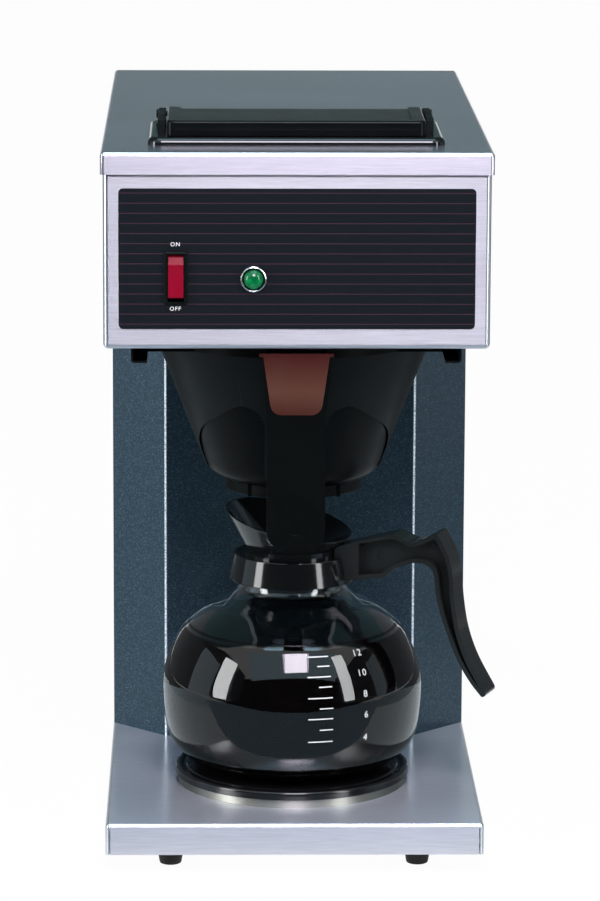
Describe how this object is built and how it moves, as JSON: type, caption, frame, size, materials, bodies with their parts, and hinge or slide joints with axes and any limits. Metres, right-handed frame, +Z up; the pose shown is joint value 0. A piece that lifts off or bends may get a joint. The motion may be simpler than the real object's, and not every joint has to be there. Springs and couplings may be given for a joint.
{
  "type": "pour-over coffee brewer",
  "caption": "Pour-over coffee brewer: a stainless head on a painted column and base, with a slide-in brew cone, a lamp and rocker switch, a warmer plate and a glass carafe.",
  "frame": {"origin": "bottom centre of the whole object's box, on the counter, with the carafe on the warmer", "axes": "+Z up, +Y from the front panel to the back, +X to the right as seen from the front"},
  "size_m": [0.224, 0.4052, 0.4242],
  "materials": {
    "stainless": "brushed stainless sheet",
    "lid_stainless": "brushed stainless sheet",
    "column_paint": "dark blue-grey sparkle paint",
    "inner_steel": "plain",
    "zinc_screw": "plain",
    "dark_rail": "dark satin",
    "enamel": "gloss black enamel",
    "label_black": "printed overlay, black with thin stripes",
    "black_plastic": "moulded, satin black",
    "gloss_black": "moulded, gloss black",
    "rocker_red": "moulded, red",
    "chrome": "polished",
    "lens_green": "faceted, green",
    "bulb": "clear",
    "black_rubber": "matte",
    "glass": "clear",
    "coffee": "stands in for the liquid",
    "tab_brown": "moulded, brown",
    "insulator": "plain"
  },
  "bodies": {
    "machine": {"base_pan": "stainless", "base_cover_plate": "inner_steel", "rubber_feet": "black_rubber", "foot_screws": "zinc_screw", "base_screws": "zinc_screw", "warmer_ring": "stainless", "warmer_plate": "enamel", "warmer_element": "insulator", "element_clamp": "inner_steel", "terminal_block": "insulator", "column_shell": "column_paint", "rear_panel": "column_paint", "rear_screws": "zinc_screw", "cord_bushing": "black_plastic", "head_shell": "stainless", "head_floor": "dark_rail", "top_lid": "lid_stainless", "lid_screws": "zinc_screw", "control_label": "label_black", "switch_housing": "black_plastic", "lamp_bezel": "chrome", "lamp_lens": "lens_green", "lamp_bulb": "bulb", "water_tank": "inner_steel", "tank_cover": "inner_steel", "tank_brackets": "inner_steel", "tank_heater": "inner_steel", "thermostat": "insulator", "fill_tube": "inner_steel", "outlet_tube": "inner_steel", "spray_head": "inner_steel", "left_basket_rail": "dark_rail", "right_basket_rail": "dark_rail", "rail_screws": "zinc_screw", "fill_basin": "gloss_black", "cover_pins": "zinc_screw"},
    "rocker": {"rocker": "rocker_red"},
    "fill_cover": {"fill_cover": "gloss_black"},
    "brew_cone": {"brew_bowl": "black_plastic", "cone_skirt": "black_plastic", "cone_handle": "black_plastic", "handle_insert": "tab_brown", "filter_basket": "inner_steel"},
    "carafe": {"carafe_glass": "glass", "coffee": "coffee", "collar_band": "gloss_black", "pour_funnel": "gloss_black", "carafe_handle": "gloss_black", "handle_screw": "zinc_screw"}
  },
  "joints": [
    {"name": "rocker_tilt", "type": "hinge", "parent": "machine", "child": "rocker", "pos_m": [-0.07059, -0.19265, 0.3414], "axis": [1, 0, 0], "range_deg": [0, 22]},
    {"name": "cover_hinge", "type": "hinge", "parent": "machine", "child": "fill_cover", "pos_m": [-0.00389, -0.09365, 0.4195], "axis": [-1, 0, 0], "range_deg": [0, 105]},
    {"name": "cone_slide", "type": "slide", "parent": "machine", "child": "brew_cone", "axis": [0, -1, 0], "range_m": [0, 0.17]},
    {"name": "carafe_slide", "type": "slide", "parent": "machine", "child": "carafe", "axis": [0.9304, -0.3665, 0], "range_m": [0, 0.2]}
  ]
}
